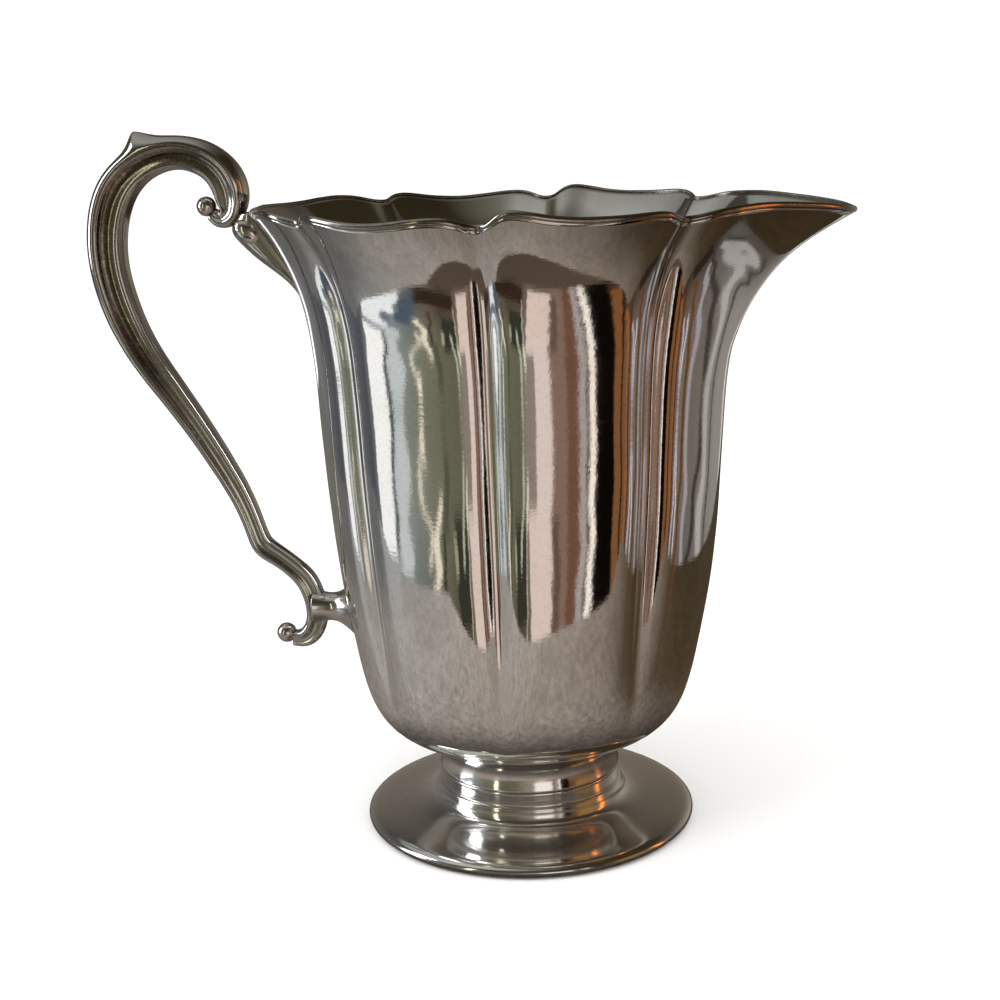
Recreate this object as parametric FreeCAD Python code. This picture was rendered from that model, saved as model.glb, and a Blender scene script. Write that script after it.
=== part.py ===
"""Silver cream jug: fluted bowl with a drawn spout, spun foot and cast scroll handle.

Millimetres, +Z up. The origin is the centre of the circle that the foot stands on.
+X points out of the spout, -X to the handle, and the XZ plane is the plane of symmetry.
Angles are degrees about +Z, counted from the spout.
"""
import FreeCAD, Part
import math
import os

Vector = FreeCAD.Vector

# ---------------------------------------------------------------- driving dimensions
FOOT_RADIUS = 31.0          # outermost edge of the foot
BODY_BASE_Z = 17.0          # underside of the bowl, on top of the collar
BODY_BASE_RADIUS = 18.0     # flat circle under the bowl
WALL = 1.1                  # thickness of the bowl's sheet
LIP_Z = 114.6               # nominal height of the sheet's edge, under the rim wire
WIRE_HEIGHT = 0.8           # height of the half-round rim wire
SEAM_Z = 10.0               # joint between collar and foot
SEAM_GAP = 0.3              # thickness of the solder in the seam
FLARE_START_Z = 88.0        # above this height the scalloped lip shapes the wall
FLUTE_START_Z = 21.0        # the flutes fade out below this height
FLUTES = (45.0, 90.0, 135.0)          # grooves on each side; none under spout and handle

# Crest line of the wall, as (radius, height) from the bowl's base to its lip.
CREST = [
    (BODY_BASE_RADIUS, BODY_BASE_Z), (22.9, 18.1), (26.7, 20.4), (29.0, 23.7), (30.5, 28.0),
    (32.0, 35.5), (33.4, 44.0), (34.7, 55.0), (35.8, 69.0), (36.5, 82.0), (37.1, 90.0),
    (38.2, 97.5), (40.1, 104.0), (43.0, 110.0), (46.4, LIP_Z),
]
# Depth of the grooves against height.
FLUTE_DEPTH = [
    (FLUTE_START_Z, 0.0), (28.0, 0.5), (40.0, 1.35), (60.0, 1.8), (90.0, 1.9), (LIP_Z, 2.5),
]
# One panel's cross-section: place across the panel, and how much of the groove depth is left.
PANEL = [
    (0.0, 1.0), (0.02, 0.93), (0.05, 0.68), (0.09, 0.36), (0.14, 0.1), (0.2, -0.05), (0.32, -0.06),
    (0.5, 0.0),
]
# Widening of the wall under the spout, over a broad sector, against height.
SPOUT_BELLY = [
    (27.0, 0.0), (40.0, 0.35), (60.0, 0.45), (80.0, 0.4), (87.0, 0.75), (92.0, 1.35), (98.0, 1.9),
    (105.0, 2.1), (LIP_Z, 2.0),
]
# Extra reach of the narrow keel of the spout, and its half-width in degrees, against height.
SPOUT_KEEL = [
    (89.0, 0.0), (95.0, 0.7), (99.0, 1.5), (103.0, 2.6), (107.0, 4.15), (110.0, 6.0), (113.0, 8.5),
    (LIP_Z, 10.1),
]
KEEL_WIDTH = [(90.0, 6.0), (100.0, 7.0), (107.0, 9.5), (LIP_Z, 12.8)]
BELLY_WIDTH = 22.0          # half-width of the widened sector in degrees
KEEL_POWER = 1.8            # how squarely the keel's sides fall away
# Height of the sheet's edge against angle. The flutes' notches are its low points.
LIP = [
    (0.0, 111.9), (3.5, 112.2), (9.0, 112.9), (16.0, 113.5), (24.0, 113.9), (33.0, 113.8),
    (39.0, 113.4), (43.0, 112.8), (45.0, 112.6), (47.0, 112.8), (51.0, 113.6), (54.0, 113.8),
    (60.0, 113.6), (67.5, 113.5), (75.0, 113.9), (81.0, 114.7), (85.0, 114.5), (88.0, 113.1),
    (90.0, 112.7), (92.0, 113.0), (95.0, 113.7), (99.0, 113.9), (105.0, 113.5), (113.0, 113.1),
    (121.0, 113.6), (127.0, 114.2), (131.0, 114.0), (133.5, 113.4), (135.0, 113.2), (137.0, 113.4),
    (142.0, 114.2), (147.0, 114.5), (158.0, 114.1), (170.0, 114.0), (180.0, 114.2),
]
RIM_FULLNESS = 0.22         # how much wider the half-round wire is than the sheet, as a share

# Neck collar, between the seam and the bowl.
COLLAR_BORE = 15.4          # inner radius, also of the foot's top
COLLAR_TOP_RADIUS = 17.5
COLLAR_FOOT_RADIUS = 17.0
COLLAR_TOP_EDGE = (17.2, 16.1)          # where the collar's cove ends under the solder fillet
# Concave side of the collar, from its foot to its top, as (radius, height).
COLLAR_COVE = [
    (COLLAR_FOOT_RADIUS, SEAM_Z + SEAM_GAP / 2), (16.75, 11.2), (16.5, 12.7), (16.7, 14.6), COLLAR_TOP_EDGE,
]
BODY_FILLET = [(BODY_BASE_RADIUS, BODY_BASE_Z), (17.55, 16.65), COLLAR_TOP_EDGE]
SEAM_RADIUS = 16.6          # the solder lies a little back from both edges

# Foot: outside and inside of the spun shell, from the seam down to the edge.
FOOT_TOP_RADIUS = 16.8
FOOT_NECK = [(16.9, 7.3), (17.3, 7.0), (17.4, 5.9)]
FOOT_FLARE = [
    (17.4, 5.9), (17.9, 4.7), (19.6, 3.6), (22.6, 2.95), (26.0, 2.6), (29.0, 2.25), (30.5, 1.75),
    (FOOT_RADIUS, 1.1), (30.9, 0.6),
]
FOOT_UNDER = [
    (27.9, 1.0), (26.0, 1.2), (22.3, 1.75), (19.0, 2.6), (17.0, 3.9), (16.2, 5.6), (15.9, 7.6),
    (COLLAR_BORE, 9.0),
]
EDGE_TURN = (29.9, 1.0)     # inner corner of the turned-down edge
EDGE_Z = 0.6                # underside of the turned-down edge
WIRE_OUT = 30.5             # outer radius of the base wire
WIRE_IN = 27.9              # its inner radius
WIRE_ROUND = (30.45, 0.2)   # a point of its rounded outer corner
WIRE_BEVEL_Z = 0.4          # height where its inner corner is broken
CONTACT = (28.3, 30.2)      # inner and outer radius of the face that it stands on

# Handle spine in the XZ plane, from the volute over the arch and down the grip to the lower scroll:
# x, z, half thickness in the plane, half width across it.
SPINE = [
    (-55.7, 113.7, 1.3, 1.3), (-54.2, 112.9, 1.7, 1.8), (-52.6, 113.6, 2.2, 2.5), (-51.9, 115.9, 3.0, 3.1),
    (-52.3, 118.7, 3.35, 3.4), (-54.0, 121.6, 3.3, 3.5), (-57.0, 123.7, 3.2, 3.5), (-61.0, 124.75, 3.1, 3.5),
    (-65.5, 124.2, 3.2, 3.6), (-69.6, 122.2, 3.4, 3.7), (-73.0, 118.9, 3.65, 3.8), (-75.2, 114.2, 3.75, 3.8),
    (-76.1, 109.0, 3.65, 3.7), (-75.8, 102.8, 3.55, 3.6), (-73.9, 95.6, 3.4, 3.4), (-70.3, 88.0, 3.1, 3.2),
    (-65.5, 80.8, 2.75, 3.0), (-60.6, 73.4, 2.45, 2.8), (-56.2, 66.0, 2.25, 2.6), (-53.0, 59.6, 2.05, 2.4),
    (-51.2, 54.4, 2.0, 2.3), (-49.9, 51.5, 2.1, 2.3), (-47.4, 49.6, 2.0, 2.2), (-44.5, 47.4, 1.95, 2.2),
    (-42.0, 44.8, 2.1, 2.2), (-40.7, 41.8, 2.1, 2.2), (-40.2, 38.6, 2.1, 2.2), (-40.9, 35.4, 2.05, 2.1),
    (-42.8, 33.4, 1.9, 1.9), (-45.2, 33.1, 1.5, 1.5),
]
# Half of the handle's cross-section: outward and sideways shares of its half sizes. It has a crowned
# back with a shoulder, a hollow channel along the cheek and a narrow ridge towards the fingers.
GRIP_SECTION = [
    (1.0, 0.0), (0.93, 0.5), (0.66, 0.9), (0.42, 0.94), (0.16, 0.76), (-0.12, 0.64), (-0.42, 0.66),
    (-0.68, 0.68), (-0.9, 0.4), (-1.0, 0.0),
]
SPUR_AT = (-67.4, 123.5)    # the thumb spur stands over this point of the spine
SPUR_HEIGHT = 2.5
SPUR_REACH = (2.2, 1.7)     # how far it spreads towards the arch and towards the grip
SPUR_END = 12.0             # beyond this distance the handle's back has no trace of it

VOLUTE_BEAD = (-56.8, 115.1, 1.8)       # x, z, radius
SCROLL_BEAD = (-46.5, 34.2, 1.9)

# Upper bracket: height, outer edge x, half width; it runs from the wall under the lip into the arch.
BRACKET = [
    (96.5, -38.9, 0.9), (98.5, -40.1, 1.5), (100.6, -41.6, 2.0), (103.0, -44.3, 2.6), (105.5, -47.6, 3.0),
    (108.0, -50.3, 3.2), (110.5, -52.1, 3.3), (112.5, -51.6, 3.2), (113.9, -50.6, 3.0),
]
BRACKET_SINK = 0.5          # depth of its root in the wall before it is trimmed
BRACKET_BEAD = (-48.6, 110.6, 2.7, 1.9, 1.5)    # x, z, half length, half height, half width
BRACKET_BEAD_OFFSET = 2.6   # of each bead from the plane of symmetry
BRACKET_BEAD_TILT = 35.0    # degrees that its handle end points up

# Lower mount: a stub with a waist, turned about a level line, from the lower scroll to the wall.
MOUNT_Z = 39.6
MOUNT = [(-40.6, 3.4), (-38.9, 2.9), (-37.4, 2.7), (-35.8, 3.0), (-34.4, 3.8), (-32.4, 5.4)]
SOLDER_RING = (4.3, 5.3)    # inner and outer radius of the solder fillet on the wall round the stub
SOLDER_PROUD = (0.75, 0.2, 0.3)         # how far it stands off the wall inside and midway; sinks outside
SOLDER_ROOT = (1.0, 0.5)    # its depth into the wall and the radius of its hidden core

# How the surfaces are sampled and cut into faces.
TURN_STEP = 0.4             # degrees either side, and share of the wall's length, between the
RISE_STEP = 0.002           # points that a surface direction is taken from
SPINE_SAMPLES = 90
GRIP_SAMPLES = 14
GRIP_FACES = 9
BRACKET_SAMPLES = 8
PANELS_PER_SIDE = 4
PANEL_STEPS = [0, 0.02, 0.05, 0.09, 0.14, 0.2, 0.3, 0.4, 0.5, 0.6, 0.7, 0.8, 0.86, 0.91, 0.95, 0.98]
WALL_STEPS = [
    0, 0.04, 0.08, 0.12, 0.16, 0.2, 0.25, 0.3, 0.36, 0.43, 0.5, 0.57, 0.64, 0.7, 0.75, 0.8, 0.84, 0.88,
    0.91, 0.94, 0.96, 0.98, 1,
]
ANGLE_CUTS = [0, 15, 45, 67.5, 90, 112.5, 135, 157.5, 180]
HEIGHT_CUTS = [0, 0.2, 0.5, 0.8, 1]
RIM_CUTS = [180 * k / 32 for k in range(33)]
RIM_SECTION = [math.radians(a) for a in (0, 20, 45, 70, 90, 110, 135, 160, 180)]
HALVINGS = 40               # enough to find a height on the wall exactly

# ---------------------------------------------------------------- curves and sheets


def spline(points):
    """Natural cubic through (x, y) pairs, as a function that holds its end values."""
    xs = [p[0] for p in points]
    ys = [p[1] for p in points]
    count = len(xs)
    gap = [xs[i + 1] - xs[i] for i in range(count - 1)]
    upper = [0.0] * count
    right = [0.0] * count
    for i in range(1, count - 1):
        rise = 3 * ((ys[i + 1] - ys[i]) / gap[i] - (ys[i] - ys[i - 1]) / gap[i - 1])
        pivot = 2 * (xs[i + 1] - xs[i - 1]) - gap[i - 1] * upper[i - 1]
        upper[i] = gap[i] / pivot
        right[i] = (rise - gap[i - 1] * right[i - 1]) / pivot
    bend = [0.0] * count
    for i in range(count - 2, 0, -1):
        bend[i] = right[i] - upper[i] * bend[i + 1]

    def value(x):
        x = min(max(x, xs[0]), xs[-1])
        i = max(k for k in range(count - 1) if xs[k] <= x)
        slope = (ys[i + 1] - ys[i]) / gap[i] - gap[i] * (bend[i + 1] + 2 * bend[i]) / 3
        d = x - xs[i]
        return ys[i] + d * (slope + d * (bend[i] + d * (bend[i + 1] - bend[i]) / (3 * gap[i])))

    return value


def along(points):
    """A spline through points of any dimension, by its chord length from 0 to 1."""
    reach = [0.0]
    for a, b in zip(points, points[1:]):
        reach.append(reach[-1] + math.dist(a, b))
    parts = [spline([(s / reach[-1], p[k]) for s, p in zip(reach, points)]) for k in range(len(points[0]))]
    return lambda t: tuple(part(t) for part in parts)


def smooth_step(x):
    x = min(max(x, 0.0), 1.0)
    return x * x * (3 - 2 * x)


crest = along(CREST)
flute_depth = spline(FLUTE_DEPTH)
panel_section = spline(PANEL + [(1 - p, d) for p, d in reversed(PANEL[:-1])])
spout_belly = spline(SPOUT_BELLY)
spout_keel = spline(SPOUT_KEEL)
keel_width = spline(KEEL_WIDTH)
lip_height = spline(sorted([(-a, z) for a, z in LIP if 0 < a] + LIP))


def flute(angle):
    """Share of the groove depth at an angle: 1 in a groove, about 0 over a panel."""
    a = abs(angle)
    panel_width = FLUTES[1] - FLUTES[0]
    if FLUTES[0] <= a <= FLUTES[-1]:
        return panel_section(((a - FLUTES[0]) % panel_width) / panel_width)
    beside = min(abs(a - FLUTES[0]), abs(a - FLUTES[-1])) / panel_width
    return panel_section(min(beside, 0.5))


def wall_point(angle, t):
    """Point on the outside of the bowl: t runs from 0 at the base to 1 at the lip."""
    angle = (angle + 180) % 360 - 180
    radius, height = crest(t)
    radius -= flute_depth(height) * flute(angle)
    radius += spout_belly(height) * 0.5 ** ((angle / BELLY_WIDTH) ** 2)
    radius += spout_keel(height) * 0.5 ** ((abs(angle) / keel_width(height)) ** KEEL_POWER)
    share = smooth_step((height - FLARE_START_Z) / (LIP_Z - FLARE_START_Z))
    height += (lip_height(angle) - LIP_Z) * share
    a = math.radians(angle)
    return Vector(radius * math.cos(a), radius * math.sin(a), height)


def wall_normal(angle, t):
    """Outward unit normal of the bowl's outside, from neighbouring points."""
    across = wall_point(angle + TURN_STEP, t) - wall_point(angle - TURN_STEP, t)
    up = wall_point(angle, min(t + RISE_STEP, 1.0)) - wall_point(angle, max(t - RISE_STEP, 0.0))
    return across.cross(up).normalize()


def curve_through(points, places, symmetric):
    """Cubic spline through points at given parameters. A symmetric one crosses the XZ plane squarely."""
    curve = Part.BSplineCurve()
    if not symmetric:
        curve.interpolate(Points=points, Parameters=places)
        return curve
    first = Vector(0, points[1].y / (places[1] - places[0]), 0)
    last = Vector(0, -points[-2].y / (places[-1] - places[-2]), 0)
    curve.interpolate(Points=points, Parameters=places, InitialTangent=first, FinalTangent=last, Scale=False)
    return curve


def surface_through(rows, across, along_row, rows_symmetric=False, row_symmetric=False):
    """Bicubic surface through a grid of points: across and along_row are the grid's parameters."""
    row_curves = [curve_through(row, along_row, row_symmetric) for row in rows]
    columns = zip(*(curve.getPoles() for curve in row_curves))
    column_curves = [curve_through(list(column), across, rows_symmetric) for column in columns]
    poles = [list(line) for line in zip(*(curve.getPoles() for curve in column_curves))]
    u, v = column_curves[0], row_curves[0]
    surface = Part.BSplineSurface()
    surface.buildFromPolesMultsKnots(poles, u.getMultiplicities(), v.getMultiplicities(), u.getKnots(),
                                     v.getKnots(), False, False, u.Degree, v.Degree)
    return surface


def mirrored(shape):
    return shape.mirror(Vector(0, 0, 0), Vector(0, 1, 0))


def patches(surface, u_cuts, v_cuts):
    """Faces of a surface, cut along lines of constant parameter."""
    faces = []
    for u_low, u_high in zip(u_cuts, u_cuts[1:]):
        for v_low, v_high in zip(v_cuts, v_cuts[1:]):
            piece = surface.copy()
            piece.segment(u_low, u_high, v_low, v_high)
            faces.append(piece.toShape())
    return faces


def edges_at(curve, cuts):
    """Edges of a curve between cuts."""
    return [curve.toShape(low, high) for low, high in zip(cuts, cuts[1:])]


def flat_end(edges):
    """Flat face inside a chain of edges and its mirror image."""
    return Part.Face(Part.Wire(Part.__sortEdges__(edges + [mirrored(edge) for edge in edges])))


def solid_of(near_faces, whole_faces=(), tolerance=0.01):
    """Closed solid from the faces on one side of the XZ plane, their mirror images and whole faces."""
    shell = Part.makeCompound(near_faces + [mirrored(face) for face in near_faces] + list(whole_faces))
    shell.sewShape(tolerance)
    solid = Part.Solid(shell.Shells[0])
    if solid.Volume < 0:
        solid.reverse()
    return solid


def revolve(profile):
    """Solid of revolution of a closed wire in the XZ plane about the Z axis."""
    face = Part.Face(profile)
    return face.revolve(Vector(0, 0, 0), Vector(0, 0, 1), 360)


def save(node, shape):
    print(f"{node}: volume {shape.Volume:.1f}, solids {len(shape.Solids)}, valid {shape.isValid()}")
    shape.exportStep(f"parts/{node}.step")


# ---------------------------------------------------------------- bowl


def wall_angles():
    width = 180 / PANELS_PER_SIDE
    return [width * (k + step) for k in range(PANELS_PER_SIDE) for step in PANEL_STEPS] + [180]


def wall_sheet(depth):
    """Wall surface at a depth under the outside of the bowl."""
    angles = wall_angles()
    rows = [[wall_point(a, t) - wall_normal(a, t) * depth for t in WALL_STEPS] for a in angles]
    return surface_through(rows, angles, WALL_STEPS, rows_symmetric=True)


def body_shell():
    outside = wall_sheet(0)
    inside = wall_sheet(WALL)
    outer_edges = edges_at(outside.vIso(1), ANGLE_CUTS)
    inner_edges = edges_at(inside.vIso(1), ANGLE_CUTS)
    lip = [Part.makeRuledSurface(a, b) for a, b in zip(outer_edges, inner_edges)]
    floors = [flat_end(edges_at(surface.vIso(0), ANGLE_CUTS)) for surface in (outside, inside)]
    walls = patches(outside, ANGLE_CUTS, HEIGHT_CUTS) + patches(inside, ANGLE_CUTS, HEIGHT_CUTS)
    return solid_of(walls + lip, floors)


def rim_wire():
    """Half-round wire on the lip's edge, slightly fuller than the sheet."""
    rows = []
    for angle in wall_angles():
        outer = wall_point(angle, 1)
        inner = outer - wall_normal(angle, 1) * WALL
        up = (outer - wall_point(angle, 1 - RISE_STEP)).normalize() * WIRE_HEIGHT
        middle = (outer + inner) * 0.5
        half = (outer - inner) * 0.5
        row = []
        for s in RIM_SECTION:
            side = half * (math.cos(s) * (1 + RIM_FULLNESS * math.sin(2 * min(s, math.pi - s))))
            row.append(middle + side + up * math.sin(s))
        rows.append(row)
    start, end = RIM_SECTION[0], RIM_SECTION[-1]
    crown = surface_through(rows, wall_angles(), RIM_SECTION, rows_symmetric=True)
    outer_edges = edges_at(crown.vIso(start), RIM_CUTS)
    inner_edges = edges_at(crown.vIso(end), RIM_CUTS)
    seat = [Part.makeRuledSurface(a, b) for a, b in zip(outer_edges, inner_edges)]
    return solid_of(patches(crown, RIM_CUTS, [start, end]) + seat)


# ---------------------------------------------------------------- foot


def ring(*stretches):
    """Solid ring turned from stretches of (radius, height): two points are a line, more are a curve."""
    edges = []
    last = None
    for stretch in stretches:
        points = [Vector(r, 0, z) for r, z in stretch]
        if last and last.distanceToPoint(points[0]) > 1e-6:
            edges.append(Part.LineSegment(last, points[0]).toShape())
        if len(points) == 2:
            edges.append(Part.LineSegment(points[0], points[1]).toShape())
        else:
            curve = Part.BSplineCurve()
            curve.interpolate(points)
            edges.append(curve.toShape())
        last = points[-1]
    first = edges[0].Vertexes[0].Point
    edges.append(Part.LineSegment(last, first).toShape())
    return revolve(Part.Wire(Part.__sortEdges__(edges)))


def neck_collar():
    top = (COLLAR_TOP_RADIUS, BODY_BASE_Z)
    return ring([(COLLAR_BORE, COLLAR_COVE[0][1]), COLLAR_COVE[0]], COLLAR_COVE, [COLLAR_TOP_EDGE, top],
                [top, (COLLAR_BORE, BODY_BASE_Z)])


def collar_body_solder():
    return ring([(COLLAR_TOP_RADIUS, BODY_BASE_Z), BODY_FILLET[0]], BODY_FILLET)


def collar_foot_solder():
    low = SEAM_Z - SEAM_GAP / 2
    high = SEAM_Z + SEAM_GAP / 2
    return ring([(COLLAR_BORE, low), (SEAM_RADIUS, low)], [(SEAM_RADIUS, high), (COLLAR_BORE, high)])


def foot_shell():
    top = SEAM_Z - SEAM_GAP / 2
    shoulder = (FOOT_TOP_RADIUS, top)
    below = (EDGE_TURN[0], EDGE_Z)
    return ring([(COLLAR_BORE, top), shoulder], [shoulder, FOOT_NECK[0]], [FOOT_NECK[0], FOOT_NECK[1]],
                [FOOT_NECK[1], FOOT_NECK[2]], FOOT_FLARE, [FOOT_FLARE[-1], below], [below, EDGE_TURN],
                [EDGE_TURN, FOOT_UNDER[0]], FOOT_UNDER)


def foot_base_wire():
    rounded = [(WIRE_OUT, EDGE_Z), WIRE_ROUND, (CONTACT[1], 0)]
    below = (EDGE_TURN[0], EDGE_Z)
    return ring([(WIRE_IN, EDGE_TURN[1]), EDGE_TURN], [EDGE_TURN, below], [below, rounded[0]], rounded,
                [(CONTACT[1], 0), (CONTACT[0], 0)], [(CONTACT[0], 0), (WIRE_IN, WIRE_BEVEL_Z)])


# ---------------------------------------------------------------- handle


def handle_scroll():
    spine = along(SPINE)
    section = along(GRIP_SECTION)
    outline = [section(i / GRIP_SAMPLES) for i in range(GRIP_SAMPLES + 1)]
    steps = [k / SPINE_SAMPLES for k in range(SPINE_SAMPLES + 1)]
    rows = []
    for t in steps:
        x, z, thick, wide = spine(t)
        ahead = spine(min(t + RISE_STEP, 1))
        behind = spine(max(t - RISE_STEP, 0))
        run = math.hypot(ahead[0] - behind[0], ahead[1] - behind[1])
        tangent = ((ahead[0] - behind[0]) / run, (ahead[1] - behind[1]) / run)
        outward = Vector(tangent[1], 0, -tangent[0])
        spur = spur_rise(x, z, tangent)
        row = []
        for n, y in outline:
            reach = n * thick + spur * max(n, 0) ** 6
            row.append(Vector(x, 0, z) + outward * reach + Vector(0, y * wide, 0))
        rows.append(row)
    surface = surface_through(rows, steps, list(range(len(outline))), row_symmetric=True)
    return capped(surface, [k / GRIP_FACES for k in range(GRIP_FACES + 1)])


def capped(surface, cuts):
    """Solid inside a half tube and its mirror image, with flat ends."""
    ends = [flat_end([surface.uIso(u).toShape()]) for u in (cuts[0], cuts[-1])]
    return solid_of(patches(surface, cuts, surface.bounds()[2:]), ends)


def spur_rise(x, z, tangent):
    """Height of the thumb spur over the handle's back beside a point of the spine."""
    along_spine = (x - SPUR_AT[0]) * tangent[0] + (z - SPUR_AT[1]) * tangent[1]
    apart = math.hypot(x - SPUR_AT[0], z - SPUR_AT[1])
    if apart > SPUR_END:
        return 0.0
    reach = SPUR_REACH[0] if along_spine < 0 else SPUR_REACH[1]
    return SPUR_HEIGHT * math.exp(-((apart / reach) ** 1.5))


def bead(x, z, radius):
    return Part.makeSphere(radius, Vector(x, 0, z))


def upper_bracket():
    rows = []
    for z, edge, wide in BRACKET:
        root = -crest_radius(z) + BRACKET_SINK
        middle = (edge + root) / 2
        half = (root - edge) / 2
        loop = []
        for k in range(BRACKET_SAMPLES + 1):
            a = math.pi * k / BRACKET_SAMPLES
            loop.append(Vector(middle + half * math.cos(a), wide * math.sin(a), z))
        rows.append(loop)
    heights = [z for z, _, _ in BRACKET]
    surface = surface_through(rows, heights, list(range(BRACKET_SAMPLES + 1)), row_symmetric=True)
    return capped(surface, [heights[0], heights[-1]])


def crest_radius(z):
    """Radius of the wall under the handle at a height."""
    low, high = 0.0, 1.0
    for _ in range(HALVINGS):
        t = (low + high) / 2
        if wall_point(180, t).z < z:
            low = t
        else:
            high = t
    return -wall_point(180, low).x


def bracket_bead(side):
    x, z, long, high, wide = BRACKET_BEAD
    ball = Part.makeSphere(1).toNurbs()
    shape = FreeCAD.Matrix()
    shape.scale(long, wide, high)
    turn = FreeCAD.Rotation(Vector(0, 1, 0), BRACKET_BEAD_TILT)
    egg = ball.transformGeometry(shape)
    egg.Placement = FreeCAD.Placement(Vector(x, side * BRACKET_BEAD_OFFSET, z), turn)
    return egg


def turned_stub(profile):
    """Solid turned about the lower mount's level axis from (x, radius) pairs."""
    points = [Vector(x, 0, MOUNT_Z + r) for x, r in profile]
    curve = Part.BSplineCurve()
    curve.interpolate(points)
    ends = [Vector(profile[-1][0], 0, MOUNT_Z), Vector(profile[0][0], 0, MOUNT_Z)]
    chain = [curve.toShape()]
    for a, b in zip([points[-1]] + ends, ends + [points[0]]):
        chain.append(Part.LineSegment(a, b).toShape())
    face = Part.Face(Part.Wire(chain))
    return face.revolve(Vector(0, 0, MOUNT_Z), Vector(1, 0, 0), 360)


def largest(shape):
    return max(shape.Solids, key=lambda s: s.Volume)


def lower_mount_solder(body, mount):
    """Fillet of solder on the wall round the lower mount."""
    inside, outside = SOLDER_RING
    near, midway, sunk = SOLDER_PROUD
    depth, core = SOLDER_ROOT
    wall = -crest_radius(MOUNT_Z)
    points = [
        (wall + depth, core), (wall - near, inside), (wall - midway, (inside + outside) / 2),
        (wall + sunk, outside), (wall + depth, outside),
    ]
    corners = [Vector(x, 0, MOUNT_Z + r) for x, r in points]
    face = Part.Face(Part.makePolygon(corners + corners[:1]))
    fillet = face.revolve(Vector(0, 0, MOUNT_Z), Vector(1, 0, 0), 360)
    return largest(fillet.cut(body).cut(mount))


def main():
    os.makedirs("parts", exist_ok=True)
    body = body_shell()
    handle = handle_scroll()
    bracket = largest(upper_bracket().cut(body).cut(handle))
    mount = largest(turned_stub(MOUNT).cut(body).cut(handle))
    save("body_shell", body)
    save("rim_wire", rim_wire())
    save("neck_collar", neck_collar())
    save("collar_body_solder", collar_body_solder())
    save("collar_foot_solder", collar_foot_solder())
    save("foot_shell", foot_shell())
    save("foot_base_wire", foot_base_wire())
    save("handle_scroll", handle)
    save("volute_bead", largest(bead(*VOLUTE_BEAD).cut(handle)))
    save("scroll_bead", largest(bead(*SCROLL_BEAD).cut(handle)))
    save("upper_bracket", bracket)
    beads = [largest(bracket_bead(side).cut(bracket).cut(handle)) for side in (-1, 1)]
    save("bracket_beads", Part.makeCompound(beads))
    save("lower_mount", mount)
    save("lower_mount_solder", lower_mount_solder(body, mount))


main()
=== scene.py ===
"""Silver cream jug: fine meshes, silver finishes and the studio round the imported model.

Shapes are described in millimetres, +Z up and +X out of the spout, and MM scales them to metres when a mesh
is made. Angles are degrees about +Z, counted from the spout. The studio is described in metres.
"""
import math

import bmesh
import bpy
import numpy as np
from mathutils import Matrix, Vector, noise


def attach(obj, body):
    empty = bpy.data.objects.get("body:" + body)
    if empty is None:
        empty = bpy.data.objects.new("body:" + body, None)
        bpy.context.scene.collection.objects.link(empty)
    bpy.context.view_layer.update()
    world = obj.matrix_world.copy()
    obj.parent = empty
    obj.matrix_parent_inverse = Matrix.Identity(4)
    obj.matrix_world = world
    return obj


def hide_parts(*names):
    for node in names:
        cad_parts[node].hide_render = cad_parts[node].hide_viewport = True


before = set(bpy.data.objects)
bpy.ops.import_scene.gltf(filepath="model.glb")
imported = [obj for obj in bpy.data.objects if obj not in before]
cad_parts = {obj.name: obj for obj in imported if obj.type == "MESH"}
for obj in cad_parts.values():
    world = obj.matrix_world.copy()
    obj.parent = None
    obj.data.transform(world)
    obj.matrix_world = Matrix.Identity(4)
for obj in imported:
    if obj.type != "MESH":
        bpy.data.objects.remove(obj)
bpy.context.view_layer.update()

MM = 0.001
RECORD_BODY = "root"

# ---------------------------------------------------------------- driving dimensions, as in the design
FOOT_RADIUS = 31.0
BODY_BASE_Z = 17.0
BODY_BASE_RADIUS = 18.0
WALL = 1.1
LIP_Z = 114.6
WIRE_HEIGHT = 0.8
SEAM_Z = 10.0
FLARE_START_Z = 88.0
FLUTE_START_Z = 21.0
FLUTES = (45.0, 90.0, 135.0)

# The bowl's outside over the middle of a panel: radius and height.
CREST = [
    (BODY_BASE_RADIUS, BODY_BASE_Z), (22.9, 18.1), (26.7, 20.4), (29.0, 23.7), (30.5, 28.0),
    (32.0, 35.5), (33.4, 44.0), (34.7, 55.0), (35.8, 69.0), (36.5, 82.0), (37.1, 90.0),
    (38.2, 97.5), (40.1, 104.0), (43.0, 110.0), (46.4, LIP_Z),
]
# The grooves: height and depth, then the groove's section as share of a panel and share of the depth.
FLUTE_DEPTH = [(FLUTE_START_Z, 0.0), (28.0, 0.5), (40.0, 1.35), (60.0, 1.8), (90.0, 1.9), (LIP_Z, 2.5)]
PANEL = [
    (0.0, 1.0), (0.02, 0.93), (0.05, 0.68), (0.09, 0.36), (0.14, 0.1), (0.2, -0.05), (0.32, -0.06),
    (0.5, 0.0),
]
# The spout's two bulges, a broad belly and a narrow keel: height and how far the wall stands out.
SPOUT_BELLY = [
    (27.0, 0.0), (40.0, 0.35), (60.0, 0.45), (80.0, 0.4), (87.0, 0.75), (92.0, 1.35), (98.0, 1.9),
    (105.0, 2.1), (LIP_Z, 2.0),
]
SPOUT_KEEL = [
    (89.0, 0.0), (95.0, 0.7), (99.0, 1.5), (103.0, 2.6), (107.0, 4.15), (110.0, 6.0), (113.0, 8.5),
    (LIP_Z, 10.1),
]
KEEL_WIDTH = [(90.0, 6.0), (100.0, 7.0), (107.0, 9.5), (LIP_Z, 12.8)]
BELLY_WIDTH = 22.0
KEEL_POWER = 1.8
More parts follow.
